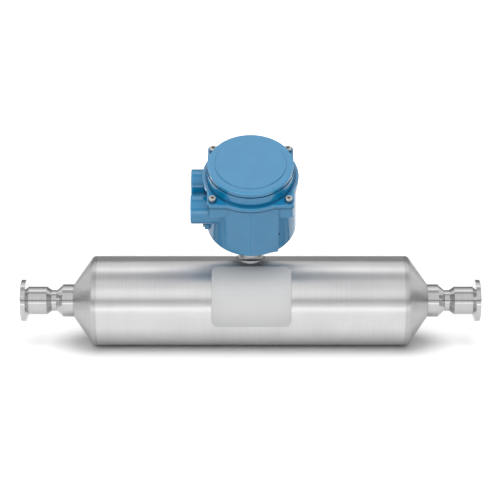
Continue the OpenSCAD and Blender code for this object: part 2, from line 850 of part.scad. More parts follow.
module outer_ground_screw() {
    color(bright_steel) housing_frame() at_outer_ground() {
        translate([0, 0, -ground_screw_l]) cylinder(r = ground_screw_r, h = ground_screw_l, $fn = 48);
        cylinder(r = ground_head_r, h = ground_head_h, $fn = 6);
    }
}

// ---------- lid ----------

module lid_seal() {
    color(black_rubber) housing_frame() translate([0, 0, body_h - seal_depth + seal_r]) rotate_extrude()
        translate([seal_circle_r, 0]) circle(seal_r, $fn = 32);
}

module lid_flange() {
    translate([0, 0, body_h]) {
        cylinder(d = lid_flange_d, h = lid_flange_t);
        translate([-flange_x, ear_r - flange_y, 0])
            cube([2 * flange_x, 2 * (flange_y - ear_r), lid_flange_t]);
        translate([ear_r - flange_x, -flange_y, 0])
            cube([2 * (flange_x - ear_r), 2 * flange_y, lid_flange_t]);
        for (x = [ear_r - flange_x, flange_x - ear_r], y = [ear_r - flange_y, flange_y - ear_r])
            translate([x, y, 0]) cylinder(r = ear_r, h = lid_flange_t);
    }
}

module lid_crown() {
    flange_top = body_h + lid_flange_t;
    step_z = lid_top - crown_step;
    rotate_extrude() polygon(concat(
        [[0, flange_top - 1], [crown_base_r, flange_top - 1], [crown_base_r, flange_top],
            [crown_base_r - crown_draft, step_z - step_w], [crown_top_r - step_depth, step_z - step_w],
            [crown_top_r - step_depth, step_z], [crown_top_r, step_z]],
        [for (i = [0:4]) let (a = 90 * i / 4)
            [crown_top_r - crown_edge_r * (1 - cos(a)), lid_top - crown_edge_r * (1 - sin(a))]],
        [[disc_d / 2, lid_top], [disc_d / 2 - 0.5, lid_top + disc_h], [0, lid_top + disc_h]]));
}

module lid() {
    color(blue_paint) housing_frame() difference() {
        union() {
            lid_flange();
            lid_crown();
        }
        translate([0, 0, body_h - 1]) cylinder(r = lid_cavity_r, h = lid_top - body_h - lid_wall + 1);
        for (i = [0:3]) at_ear(i) translate([0, 0, body_h - 1])
            cylinder(r = lid_screw_r + clear_gap, h = lid_flange_t + 2, $fn = 48);
    }
}

module lid_screw(i) {
    hex_depth = lid_screw_head_h / 2;
    color(bright_steel) housing_frame() at_ear(i) translate([0, 0, body_h + lid_flange_t]) {
        translate([0, 0, -lid_screw_l]) cylinder(r = lid_screw_r, h = lid_screw_l, $fn = 48);
        difference() {
            union() {
                cylinder(d = lid_screw_head_d, h = lid_screw_head_h - 0.6, $fn = 48);
                translate([0, 0, lid_screw_head_h - 0.6])
                    cylinder(d1 = lid_screw_head_d, d2 = lid_screw_head_d - 1.2, h = 0.6, $fn = 48);
            }
            translate([0, 0, lid_screw_head_h - hex_depth])
                cylinder(r = lid_screw_r * 0.92, h = hex_depth + 1, $fn = 6);
        }
    }
}

// ---------- the nodes ----------

case_tube();
at_inlet() end_cone();  // inlet_end_cone
at_outlet() end_cone();  // outlet_end_cone
at_inlet() adaptor();  // inlet_adaptor
at_outlet() adaptor();  // outlet_adaptor
at_inlet() ferrule();  // inlet_ferrule
at_outlet() ferrule();  // outlet_ferrule
flow_tube();
reference_tube();
brace_ring(middle_x - reference_half + 1);  // inlet_brace
brace_ring(middle_x + reference_half - 1 - brace_t);  // outlet_brace
at_station(0) coil();  // drive_coil
at_station(0) magnet();  // drive_magnet
at_station(-pickoff_x) coil();  // inlet_pickoff_coil
at_station(-pickoff_x) magnet();  // inlet_pickoff_magnet
at_station(pickoff_x) coil();  // outlet_pickoff_coil
at_station(pickoff_x) magnet();  // outlet_pickoff_magnet
tube_temperature_sensor();
sensor_wiring_strip();
neck();
neck_retaining_ring();
feedthrough();
feedthrough_pins();
sensor_plug();
label_plate();
housing_base();
neck_seal();
swivel_lock_screw();
electronics_module();
module_screws();
module_lead();
terminal_block();
terminal_screws();
inner_ground_screw();
outer_ground_screw();
lid_seal();
lid();
lid_screw(0);  // lid_screw_1
lid_screw(1);  // lid_screw_2
lid_screw(2);  // lid_screw_3
lid_screw(3);  // lid_screw_4
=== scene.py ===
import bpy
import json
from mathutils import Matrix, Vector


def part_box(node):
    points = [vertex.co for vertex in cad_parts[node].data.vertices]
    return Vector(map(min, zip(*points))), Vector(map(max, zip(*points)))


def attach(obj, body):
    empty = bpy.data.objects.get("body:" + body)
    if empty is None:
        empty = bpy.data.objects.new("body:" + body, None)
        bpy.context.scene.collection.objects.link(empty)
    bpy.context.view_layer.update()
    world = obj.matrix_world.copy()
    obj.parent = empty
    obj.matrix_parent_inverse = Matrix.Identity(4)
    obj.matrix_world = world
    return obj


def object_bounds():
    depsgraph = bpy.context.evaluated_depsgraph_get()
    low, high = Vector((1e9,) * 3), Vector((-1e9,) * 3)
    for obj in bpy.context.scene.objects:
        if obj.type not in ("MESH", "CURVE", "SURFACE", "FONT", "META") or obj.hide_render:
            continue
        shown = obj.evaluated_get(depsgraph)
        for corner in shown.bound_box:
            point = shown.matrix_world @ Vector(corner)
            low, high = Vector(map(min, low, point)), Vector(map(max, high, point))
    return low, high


bl_info = {
    "name": "Coriolis Flow Meter",
    "version": (1, 0, 0),
    "blender": (4, 5, 0),
    "location": "View3D > Sidebar > Flow Meter",
    "description": "Finishes a straight-tube coriolis flow meter on its packed frame",
    "category": "Object",
}

import json
import math

import bmesh
import bpy
from bpy.props import FloatProperty, FloatVectorProperty, IntProperty, PointerProperty
from mathutils import Vector

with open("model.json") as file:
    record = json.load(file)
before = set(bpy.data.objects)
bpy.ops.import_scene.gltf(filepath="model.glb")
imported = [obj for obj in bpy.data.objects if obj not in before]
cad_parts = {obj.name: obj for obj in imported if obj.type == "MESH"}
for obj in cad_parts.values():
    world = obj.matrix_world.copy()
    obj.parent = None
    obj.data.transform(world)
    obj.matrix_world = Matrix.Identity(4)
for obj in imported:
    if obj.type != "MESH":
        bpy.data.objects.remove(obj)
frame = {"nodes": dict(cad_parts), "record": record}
NODES = frame["nodes"]
MOUNTS = {mount["name"]: mount for mount in frame["record"]["mounts"]}
CAD_LOW, CAD_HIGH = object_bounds()
MIDDLE = (CAD_LOW.x + CAD_HIGH.x) / 2
CASE_LOW, CASE_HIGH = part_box("case_tube")
CASE_RADIUS = (CASE_HIGH.y - CASE_LOW.y) / 2

# The housing leans to the front: its own upright, and its own direction to the back
HOUSING_TILT = math.radians(30)
HOUSING_UP = (0, -math.sin(HOUSING_TILT), math.cos(HOUSING_TILT))
HOUSING_BACK = (0, math.cos(HOUSING_TILT), math.sin(HOUSING_TILT))

MM = 0.001
FLOW = (1, 0, 0)
LABEL_LEAN = math.radians(24)  # how far the label's middle faces up from level
LABEL_UP = (0, math.sin(LABEL_LEAN), math.cos(LABEL_LEAN))
ENTRIES = ("cable_entry_front", "cable_entry_back")
LID_SCREWS = ("lid_screw_1", "lid_screw_2", "lid_screw_3", "lid_screw_4")

# The front lugs and the prow, measured in the plane of the joint
LUG_INNER = 9.4 * MM  # from a lid screw to its lug's inner face
LUG_FRONT = 47.1 * MM  # from the middle of the lid screws to a lug's front
PROW_FRONT = 45.3 * MM  # from the middle of the lid screws to the prow's front
WEB_BACK = 37 * MM  # from the middle of the lid screws to a web's back, which lies in the wall
WEB_BITE = 0.2 * MM  # how far a web runs into its lug
WEB_TOP = 0.1 * MM  # how far below the joint a web starts
CORNER_STEPS = 8

# A thread's crest: the place in pitches from its middle, and the share of the depth there
THREAD_CREST = ((-0.46, 0.0), (-0.07, 1.0), (0.07, 1.0), (0.46, 0.0))
THREAD_SINK = 0.00002  # how far the thread's foot lies inside the wall

# The enamel
ENAMEL_ROUGHNESS = 0.45
ENAMEL_IOR = 1.75
SEAM_COLOUR = (0.001, 0.016, 0.040)
SEAM_BLUR = 0.0003  # how far the joint's dark line fades out on each side
EDGE_WEAR_AND_HIGHLIGHT = 0.75  # how much of the edge colour shows on a free edge

# The stage, in metres, with the sensor in millimetres
FLOOR_HALF = 9
LAMP_AIM = (MIDDLE, 0, 0.05)
CAMERA_AIM = (MIDDLE - 0.0007, 0, 0.0633)
SENSOR_WIDTH = 36
FARTHEST_SEEN = 100

# Each card's name, middle, half width and half height, quarter turns about X, Y and Z, and grey
CARDS = (
    ("rear_flag", (MIDDLE, 1.6, 0.85), (1.6, 0.80), (1, 0, 0), 0.32),
    ("upper_flag", (MIDDLE, -0.20, 1.5), (1.8, 0.28), (0, 0, 0), 0.62),
    ("front_flag", (MIDDLE, -2.2, 0.66), (2.4, 0.05), (1, 0, 0), 0.04),
    ("front_net", (MIDDLE, -2.3, 0.74), (2.4, 0.26), (1, 0, 0), 0.66),
    ("left_flag", (MIDDLE - 2.4, -0.9, 0.32), (1.3, 0.37), (1, 0, 1), 0.12),
    ("right_flag", (MIDDLE + 2.4, -0.9, 0.32), (1.3, 0.37), (1, 0, 1), 0.12),
)


# ---------- settings ----------


class PaintSettings(bpy.types.PropertyGroup):
    """The gloss enamel on the housing and its lid."""

    colour: FloatVectorProperty(
        name="Paint colour", description="Colour of the enamel", subtype="COLOR",
        default=(0.001, 0.175, 0.360), min=0, max=1,
    )
    thin_colour: FloatVectorProperty(
        name="Thin paint colour", description="Colour where the enamel lies thinner", subtype="COLOR",
        default=(0.002, 0.185, 0.376), min=0, max=1,
    )
    coat_roughness: FloatProperty(
        name="Gloss roughness", description="Roughness of the clear top layer", subtype="FACTOR",
        default=0.07, min=0, max=1,
    )
    peel_depth: FloatProperty(
        name="Orange peel", description="Depth of the ripple in the enamel", unit="LENGTH",
        default=0.00002, min=0, max=0.001,
    )
    # Paler colour on free edges: partly thin, worn enamel and partly a painted highlight
    edge_wear_and_highlight_colour: FloatVectorProperty(
        name="Edge colour", description="Colour where the enamel thins over an edge", subtype="COLOR",
        default=(0.070, 0.330, 0.560), min=0, max=1,
    )
    # Painted shade: the dark colour that the enamel takes in creases, in place of real shade
    crease_shade_colour: FloatVectorProperty(
        name="Crease colour", description="Colour where the enamel pools in a crease", subtype="COLOR",
        default=(0.000, 0.040, 0.110), min=0, max=1,
    )
    crease_reach: FloatProperty(
        name="Crease reach", description="How far out of a crease its dark shade reaches",
        unit="LENGTH", default=0.0048, min=0.0005, max=0.02,
    )
    seam_width: FloatProperty(
        name="Seam width", description="Width of the shadow line between lid and housing",
        unit="LENGTH", default=0.0018, min=0, max=0.003,
    )
    edge_radius: FloatProperty(
        name="Edge radius", description="Radius that the enamel gives to an edge", unit="LENGTH",
        default=0.0009, min=0, max=0.005,
    )


class CaseSettings(bpy.types.PropertyGroup):
    """The satin stainless steel of the case, its cones and the neck."""

    colour: FloatVectorProperty(
        name="Case colour", description="Colour of the satin steel", subtype="COLOR",
        default=(0.66, 0.655, 0.66), min=0, max=1,
    )
    roughness: FloatProperty(
        name="Case roughness", description="Roughness of the satin steel", subtype="FACTOR",
        default=0.38, min=0, max=1,
    )
    highlight_stretch: FloatProperty(
        name="Highlight stretch",
        description="How far the sanding marks stretch a highlight along the case", subtype="FACTOR",
        default=0.92, min=0, max=1,
    )
    grain_depth: FloatProperty(
        name="Grain depth", description="Depth of the sanding marks", unit="LENGTH", default=0.000001,
        min=0, max=0.001,
    )
    # Painted shade: the cones get a darker copy of the case steel, in place of their darker reflections
    cone_painted_shade: FloatProperty(
        name="Cone shade", description="Darkness of the pressed cones against the case",
        subtype="FACTOR", default=0.80, min=0.5, max=1,
    )
    weld_width: FloatProperty(
        name="Weld width", description="Width of a dressed weld seam", unit="LENGTH", default=0.0022,
        min=0, max=0.01,
    )


class FittingSettings(bpy.types.PropertyGroup):
    """The turned and polished end fittings."""

    colour: FloatVectorProperty(
        name="Fitting colour", description="Colour of the polished steel", subtype="COLOR",
        default=(0.52, 0.516, 0.516), min=0, max=1,
    )
    roughness: FloatProperty(
        name="Fitting roughness", description="Roughness of the polished steel", subtype="FACTOR",
        default=0.11, min=0, max=1,
    )
    edge_radius: FloatProperty(
        name="Fitting edge radius", description="Radius of a turned edge", unit="LENGTH",
        default=0.0003, min=0, max=0.002,
    )


class LabelSettings(bpy.types.PropertyGroup):
    """The bare foil label plate."""

    # The foil's middle, made lighter than its rim as a painted highlight
    colour: FloatVectorProperty(
        name="Foil colour", description="Colour of the foil", subtype="COLOR",
        default=(0.560, 0.560, 0.560), min=0, max=1,
    )
    rim_colour: FloatVectorProperty(
        name="Foil rim colour", description="Colour of the foil towards its rim", subtype="COLOR",
        default=(0.500, 0.502, 0.505), min=0, max=1,
    )
    roughness: FloatProperty(
        name="Foil roughness", description="Roughness of the foil", subtype="FACTOR", default=0.42,
        min=0, max=1,
    )


class LugSettings(bpy.types.PropertyGroup):
    """The metal that joins the front lugs to the prow."""

    left_width: FloatProperty(
        name="Left web width", description="Width of the web beside the left lug", unit="LENGTH",
        default=0.0090, min=0.001, max=0.01,
    )
    right_width: FloatProperty(
        name="Right web width", description="Width of the web beside the right lug", unit="LENGTH",
        default=0.0023, min=0.001, max=0.01,
    )
    height: FloatProperty(
        name="Web height", description="How far a web reaches down from the joint", unit="LENGTH",
        default=0.0157, min=0.002, max=0.03,
    )
    corner: FloatProperty(
        name="Web corner", description="Radius of a web's lower corner", unit="LENGTH", default=0.0020,
        min=0.0002, max=0.01,
    )


class ThreadSettings(bpy.types.PropertyGroup):
    """The threads inside the cable entries."""

    pitch: FloatProperty(
        name="Thread pitch", description="Distance from crest to crest", unit="LENGTH", default=0.0015,
        min=0.0005, max=0.003,
    )
    depth: FloatProperty(
        name="Thread depth", description="Height of a crest", unit="LENGTH", default=0.0006, min=0.0001,
        max=0.002,
    )
    segments: IntProperty(
        name="Segments", description="Steps in each turn", default=48, min=12, max=128,
    )


class StageSettings(bpy.types.PropertyGroup):
    """Floor, light and camera."""

    floor_colour: FloatVectorProperty(
        name="Floor colour", description="Colour of the floor", subtype="COLOR",
        default=(0.82, 0.82, 0.82), min=0, max=1,
    )
    floor_lift: FloatProperty(
        name="Floor lift", description="White that the floor adds near the object", subtype="FACTOR",
        default=0.36, min=0, max=1,
    )
    shadow_reach: FloatProperty(
        name="Shadow reach", description="Distance within which the floor keeps its shadow",
        unit="LENGTH", default=0.20, min=0.1, max=3,
    )
    ambient: FloatProperty(
        name="Ambient light", description="Strength of the light from all round", default=0.35, min=0,
        max=4,
    )
    overhead: FloatProperty(
        name="Overhead light", description="Power of the soft light overhead", unit="POWER",
        default=0.9, min=0, max=100,
    )
    fill: FloatProperty(
        name="Fill light", description="Power of the broad lights that show in no reflection",
        unit="POWER", default=30, min=0, max=200,
    )
    front: FloatProperty(
        name="Front light", description="Power of the soft light at the front left", unit="POWER",
        default=4.0, min=0, max=100,
    )
    lens: FloatProperty(
        name="Focal length", description="Focal length of the lens in millimetres", default=144, min=20,
        max=300,
    )
    elevation: FloatProperty(
        name="Camera elevation", description="How far the camera looks down", subtype="ANGLE",
        default=math.radians(16.24), min=0, max=math.radians(89),
    )
    distance: FloatProperty(
        name="Camera distance", description="Distance from the camera to what it aims at",
        unit="LENGTH", default=2.3924, min=0.5, max=10,
    )


# ---------- making a finish ----------


def seen_rays(tree):
    """1 for rays that show the background, straight or in metal and glass, and 0 for the rest."""
    paths = tree.nodes.new("ShaderNodeLightPath")
    seen = paths.outputs["Is Camera Ray"]
    for ray in ("Is Glossy Ray", "Is Transmission Ray"):
        either = tree.nodes.new("ShaderNodeMath")
        either.operation = "MAXIMUM"
        tree.links.new(seen, either.inputs[0])
        tree.links.new(paths.outputs[ray], either.inputs[1])
        seen = either.outputs[0]
    return seen


class Finish:
    """A material under construction, with one Principled shader."""

    def __init__(self, name, colour, metallic, roughness):
        self.material = bpy.data.materials.new(name)
        self.material.use_nodes = True
        self.tree = self.material.node_tree
        self.tree.nodes.clear()
        self.shader = self.tree.nodes.new("ShaderNodeBsdfPrincipled")
        self.shader.inputs["Base Color"].default_value = (*colour, 1)
        self.shader.inputs["Metallic"].default_value = metallic
        self.shader.inputs["Roughness"].default_value = roughness
        output = self.tree.nodes.new("ShaderNodeOutputMaterial")
        self.link(self.shader.outputs["BSDF"], output.inputs["Surface"])
        self.place = self.node("ShaderNodeTexCoord").outputs["Object"]
        self.normal = None

    def node(self, kind, **settings):
        """Adds a node to the material."""
        made = self.tree.nodes.new(kind)
        for key, value in settings.items():
            setattr(made, key, value)
        return made

    def link(self, source, target):
        self.tree.links.new(source, target)

    def fill(self, socket, value):
        """Links value if it is a node's output, and sets it otherwise."""
        if isinstance(value, bpy.types.NodeSocket):
            self.link(value, socket)
        else:
            socket.default_value = value

    def calc(self, operation, *values):
        """The result of a Math node, from numbers or other nodes' outputs."""
        node = self.node("ShaderNodeMath", operation=operation)
        for socket, value in zip(node.inputs, values):
            self.fill(socket, value)
        return node.outputs[0]

    def along(self, direction):
        """The place's distance along a direction, in metres."""
        node = self.node("ShaderNodeVectorMath", operation="DOT_PRODUCT")
        self.link(self.place, node.inputs[0])
        node.inputs[1].default_value = direction
        return node.outputs["Value"]

    def noise(self, stretch, detail=3.0, offset=(0, 0, 0)):
        """Noise from 0 to 1, with stretch cells to the metre along each axis."""
        mapping = self.node("ShaderNodeMapping")
        self.link(self.place, mapping.inputs["Vector"])
        mapping.inputs["Scale"].default_value = stretch
        mapping.inputs["Location"].default_value = offset
        noise = self.node("ShaderNodeTexNoise")
        noise.inputs["Scale"].default_value = 1
        noise.inputs["Detail"].default_value = detail
        self.link(mapping.outputs["Vector"], noise.inputs["Vector"])
        return noise.outputs["Fac"]

    def ramp(self, value, low, high, start=0.0, end=1.0, smooth=True):
        """value carried from the range low to high to the range start to end."""
        node = self.node("ShaderNodeMapRange", interpolation_type="SMOOTHSTEP" if smooth else "LINEAR")
        ends = {"Value": value, "From Min": low, "From Max": high, "To Min": start, "To Max": end}
        for name, amount in ends.items():
            self.fill(node.inputs[name], amount)
        return node.outputs["Result"]

    def band(self, value, middle, half, soft):
        """1 where value lies within half of middle, and 0 beyond it, with a soft edge."""
        distance = self.calc("ABSOLUTE", self.calc("SUBTRACT", value, middle))
        return self.ramp(distance, half, half + soft, 1, 0)

    def mix(self, factor, first, second):
        """The first colour at factor 0 and the second at factor 1."""
        node = self.node("ShaderNodeMix", data_type="RGBA")
        self.fill(node.inputs[0], factor)
        self.fill(node.inputs[6], first if isinstance(first, bpy.types.NodeSocket) else (*first, 1))
        self.fill(node.inputs[7], second if isinstance(second, bpy.types.NodeSocket) else (*second, 1))
        return node.outputs[2]

    def colour(self, value):
        self.link(value, self.shader.inputs["Base Color"])

    def roughness(self, value):
        self.link(value, self.shader.inputs["Roughness"])

    def soften(self, radius):
        """Edges catch the light as if they were rounded to this radius."""
        bevel = self.node("ShaderNodeBevel", samples=6)
        bevel.inputs["Radius"].default_value = radius
        self.normal = bevel.outputs["Normal"]

    def bump(self, height, depth):
        """Raises the surface's shading by up to depth, in metres, on top of what came before."""
        bump = self.node("ShaderNodeBump")
        bump.inputs["Strength"].default_value = 1
        bump.inputs["Distance"].default_value = depth
        self.link(height, bump.inputs["Height"])
        if self.normal:
            self.link(self.normal, bump.inputs["Normal"])
        self.normal = bump.outputs["Normal"]

    def openness(self, distance):
        """1 where nothing stands within a distance of the surface, falling towards 0 in a crease."""
        node = self.node("ShaderNodeAmbientOcclusion", samples=8)
        node.inputs["Distance"].default_value = distance
        return node.outputs["AO"]

    def knuckle(self, radius):
        """How far the surface turns within a radius: 0 on a flat, and about 0.3 on a square edge."""
        bevel = self.node("ShaderNodeBevel", samples=6)
        bevel.inputs["Radius"].default_value = radius
        turn = self.node("ShaderNodeVectorMath", operation="DOT_PRODUCT")
        self.link(bevel.outputs["Normal"], turn.inputs[0])
        self.link(self.node("ShaderNodeNewGeometry").outputs["Normal"], turn.inputs[1])
        return self.calc("SUBTRACT", 1.0, turn.outputs["Value"])

    def done(self):
        """Joins the gathered bumps to the shader and gives the material."""
        if self.normal:
            self.link(self.normal, self.shader.inputs["Normal"])
            self.link(self.normal, self.shader.inputs["Coat Normal"])
        return self.material


def dress(material, *names):
    """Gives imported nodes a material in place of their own."""
    for name in names:
        if name not in NODES:
            raise RuntimeError(f"the frame has no node {name}")
        mesh = NODES[name].data
        mesh.materials.clear()
        mesh.materials.append(material)


def shades(colour, low, high):
    """A darker and a lighter shade of a colour."""
    return tuple(c * low for c in colour), tuple(min(c * high, 1) for c in colour)


def made_object(name, mesh, material):
    """Turns a finished bmesh into an object of the scene, with one material."""
    data = bpy.data.meshes.new(name)
    mesh.to_mesh(data)
    mesh.free()
    data.materials.append(material)
    piece = bpy.data.objects.new(name, data)
    bpy.context.scene.collection.objects.link(piece)
    return piece


def joint_height():
    """Where the lid meets the housing, along the housing's own upright."""
    return min(Vector(HOUSING_UP).dot(vertex.co) for vertex in NODES["lid"].data.vertices)


# ---------- finishes ----------


def gloss_enamel(settings):
    """Enamel under a clear coat: paler on edges, partly wear and partly a painted highlight, with painted
    shade in creases and a painted shadow line at the lid's joint.
    """
    finish = Finish("gloss_enamel", settings.colour, metallic=0, roughness=ENAMEL_ROUGHNESS)
    cloud = finish.ramp(finish.noise((38, 38, 38), detail=2), low=0.35, high=0.65)
    enamel = finish.mix(cloud, tuple(settings.colour), tuple(settings.thin_colour))

    # Edges turn paler only where they stand free, not in the corner of a crease: partly worn enamel, partly
    # a painted highlight
    open_air = finish.openness(settings.crease_reach)
    turn = finish.knuckle(settings.edge_radius * 0.8)
    worn_and_highlit = finish.calc("MULTIPLY", finish.ramp(turn, low=0.002, high=0.010, end=EDGE_WEAR_AND_HIGHLIGHT),
                         finish.ramp(open_air, low=0.75, high=0.97))
    enamel = finish.mix(worn_and_highlit, enamel, tuple(settings.edge_wear_and_highlight_colour))
    # Painted shade: the enamel darkens towards the crease colour where other surfaces stand close
    clear = finish.ramp(open_air, low=0.40, high=0.93)
    enamel = finish.mix(clear, tuple(settings.crease_shade_colour), enamel)
    up = finish.along(HOUSING_UP)
    seams = finish.band(up, joint_height(), half=settings.seam_width / 2, soft=SEAM_BLUR)
    finish.colour(finish.mix(finish.calc("MULTIPLY", seams, 0.9), enamel, SEAM_COLOUR))

    # The clear coat fades in creases and along the joint, where its shine would hide their painted shade and
    # painted shadow line
    finish.shader.inputs["Specular IOR Level"].default_value = 0
    creased = finish.ramp(clear, low=0, high=1, start=0.25)
    unseamed = finish.calc("MULTIPLY_ADD", seams, -0.95, 1.0)
    finish.link(finish.calc("MULTIPLY", creased, unseamed), finish.shader.inputs["Coat Weight"])
    finish.shader.inputs["Coat Roughness"].default_value = settings.coat_roughness
    finish.shader.inputs["Coat IOR"].default_value = ENAMEL_IOR
    finish.soften(settings.edge_radius)
    finish.bump(finish.noise((520, 520, 520), detail=2), settings.peel_depth)
    finish.bump(finish.noise((60, 60, 60), detail=1), settings.peel_depth * 3)
    return finish.done()


def turned_steel(name, colour, roughness, lines, depth, radius, stretch, spread=0.05):
    """Steel with marks that run round the flow axis, which stretch its highlights along that axis, and with
    painted shade in its creases.
    """
    finish = Finish(name, colour, metallic=1, roughness=roughness)
    finish.shader.inputs["Anisotropic"].default_value = stretch
    finish.shader.inputs["Anisotropic Rotation"].default_value = 0.25
    round_axis = finish.node("ShaderNodeTangent", direction_type="RADIAL", axis="X")
    finish.link(round_axis.outputs["Tangent"], finish.shader.inputs["Tangent"])
    marks = finish.noise((lines, 18, 18), detail=4)
    cloud = finish.noise((30, 30, 30), detail=3, offset=(0.3, 0.1, 0.7))
    both = finish.calc("MULTIPLY_ADD", marks, 0.6, finish.calc("MULTIPLY", cloud, 0.4))
    dark, light = shades(colour, low=0.93, high=1.04)
    steel = finish.mix(finish.ramp(both, low=0.35, high=0.65), dark, light)
    # Painted shade: the steel darkens where another surface stands within 5 mm
    clear = finish.ramp(finish.openness(5 * MM), low=0.25, high=0.85)
    finish.colour(finish.mix(clear, shades(colour, low=0.30, high=1)[0], steel))
    uneven = finish.ramp(marks, low=0.3, high=0.7, start=roughness - spread, end=roughness + spread)
    finish.roughness(uneven)
    finish.soften(radius)
    finish.bump(marks, depth)
    return finish


def plain_steel(name, colour, roughness, radius=0.0002):
    """Bright fastener steel with fine marks in no direction."""
    finish = Finish(name, colour, metallic=1, roughness=roughness)
    marks = finish.noise((1400, 1400, 1400), detail=2)
    finish.colour(finish.mix(marks, *shades(colour, low=0.88, high=1.05)))
    finish.roughness(finish.ramp(marks, low=0.3, high=0.7, start=roughness - 0.05, end=roughness + 0.06))
    finish.soften(radius)
    finish.bump(marks, 0.000004)
    return finish.done()


def moulded(name, colour, roughness, grain=900, depth=0.00001):
    """Moulded plastic or rubber with a fine spark-eroded grain."""
    finish = Finish(name, colour, metallic=0, roughness=roughness)
    marks = finish.noise((grain, grain, grain), detail=3)
    finish.colour(finish.mix(marks, *shades(colour, low=0.82, high=1.15)))
    finish.roughness(finish.ramp(marks, low=0.3, high=0.7, start=roughness - 0.06, end=roughness + 0.08))
    finish.soften(0.0003)
    finish.bump(marks, depth)
    return finish.done()


# ---------- pieces ----------


class FLOWMETER_OT_paint_housing(bpy.types.Operator):
    """Enamels the housing and its lid"""

    bl_idname = "flowmeter.paint_housing"
    bl_label = "Paint the housing"

    def execute(self, context):
        dress(gloss_enamel(context.scene.flowmeter_paint), "housing_base", "lid")
        return {"FINISHED"}


class FLOWMETER_OT_fill_lugs(bpy.types.Operator):
    """Fills out the front lugs to the housing's prow"""

    bl_idname = "flowmeter.fill_lugs"
    bl_label = "Fill out the front lugs"

    def execute(self, context):
        settings = context.scene.flowmeter_lug
        screws = [sum(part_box(name), Vector()) / 2 for name in LID_SCREWS]
        backs = [Vector(HOUSING_BACK).dot(screw) for screw in screws]
        centre = (min(backs) + max(backs)) / 2
        inner = max(screw.x for screw in screws) - MIDDLE - LUG_INNER
        webs = (
            ("left_lug_web", -inner - WEB_BITE, settings.left_width),
            ("right_lug_web", inner + WEB_BITE, -settings.right_width),
        )
        for name, start, width in webs:
            outline = self.outline(start, width, settings)
            mesh = bmesh.new()
            front, back = [], []
            for x, up in outline:
                # The front slopes from the lug's face to the prow's, so no end face stands proud
                slope = -LUG_FRONT + (LUG_FRONT - PROW_FRONT) * (x - start) / width
                for ring, depth in ((front, slope), (back, -WEB_BACK)):
                    ring.append(mesh.verts.new(
                        Vector((MIDDLE + x, 0, 0)) + Vector(HOUSING_BACK) * (centre + depth)
                        + Vector(HOUSING_UP) * (joint_height() + up)
                    ))
            for i in range(len(outline)):
                j = (i + 1) % len(outline)
                mesh.faces.new((front[i], front[j], back[j], back[i]))
            mesh.faces.new(front)
            mesh.faces.new(reversed(back))
            bmesh.ops.recalc_face_normals(mesh, faces=mesh.faces)
            piece = made_object(name, mesh, NODES["housing_base"].data.materials[0])
            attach(piece, "housing")
        return {"FINISHED"}

    @staticmethod
    def outline(start, width, settings):
        """A web's front: square where it meets the lug, and rounded at its lower free corner."""
        turn = 1 if width > 0 else -1
        corner = min(settings.corner, abs(width) * 0.6)
        points = [(start, -WEB_TOP), (start, -settings.height)]
        for i in range(CORNER_STEPS + 1):
            angle = math.radians(90) * i / CORNER_STEPS
            points.append((
                start + width - turn * corner * (1 - math.sin(angle)),
                -settings.height + corner * (1 - math.cos(angle)),
            ))
        return points + [(start + width, -WEB_TOP)]


class FLOWMETER_OT_finish_case(bpy.types.Operator):
    """Sands the case, its cones and the neck, and dresses their weld seams"""

    bl_idname = "flowmeter.finish_case"
    bl_label = "Finish the case"

    def execute(self, context):
        settings = context.scene.flowmeter_case
        # Painted shade: a darker copy of the case steel for the cones
        cone_shaded_colour = shades(settings.colour, low=settings.cone_painted_shade, high=1)[0]
        self.sand(settings, "satin_case_steel", settings.colour, "case_tube")
        self.sand(settings, "satin_cone_steel", cone_shaded_colour, "inlet_end_cone", "outlet_end_cone")
        # Painted shade: the neck gets a darker copy of the case steel, where it stands under the housing
        neck_shaded_colour = shades(settings.colour, low=0.5, high=1)[0]
        dress(plain_steel("satin_neck_steel", neck_shaded_colour, settings.roughness - 0.06, radius=0.0004), "neck")
        return {"FINISHED"}

    @staticmethod
    def sand(settings, name, colour, *nodes):
        """Gives the nodes a sanded steel with a rippled weld seam where the cones meet the case."""
        finish = turned_steel(name, colour, settings.roughness, lines=2500, depth=settings.grain_depth,
                              radius=0.0006, stretch=settings.highlight_stretch)
        along = finish.along(FLOW)
        seams = None
        for x in (CASE_LOW.x, CASE_HIGH.x):
            seam = finish.band(along, x, half=settings.weld_width / 2, soft=settings.weld_width / 2)
            seams = seam if seams is None else finish.calc("MAXIMUM", seams, seam)
        ripple = finish.noise((60, 420, 420), detail=1, offset=(0.2, 0.5, 0.1))
        finish.bump(finish.calc("MULTIPLY", seams, ripple), settings.grain_depth * 48)
        dress(finish.done(), *nodes)


class FLOWMETER_OT_finish_fittings(bpy.types.Operator):
    """Polishes the ferrules, the adaptors and the flow tube"""

    bl_idname = "flowmeter.finish_fittings"
    bl_label = "Finish the end fittings"

    def execute(self, context):
        settings = context.scene.flowmeter_fitting
        finish = turned_steel("polished_fitting_steel", settings.colour, settings.roughness, lines=2600,
                              depth=0.000002, radius=settings.edge_radius, stretch=0.5, spread=0.03)
        dress(finish.done(), "inlet_ferrule", "outlet_ferrule", "inlet_adaptor", "outlet_adaptor")
        drawn = Finish("drawn_tube_steel", settings.colour, metallic=1, roughness=settings.roughness)
        marks = drawn.noise((20, 2400, 2400), detail=3)
        drawn.colour(drawn.mix(marks, *shades(settings.colour, low=0.88, high=1.04)))
        drawn.bump(marks, 0.000004)
        dress(drawn.done(), "flow_tube")
        return {"FINISHED"}


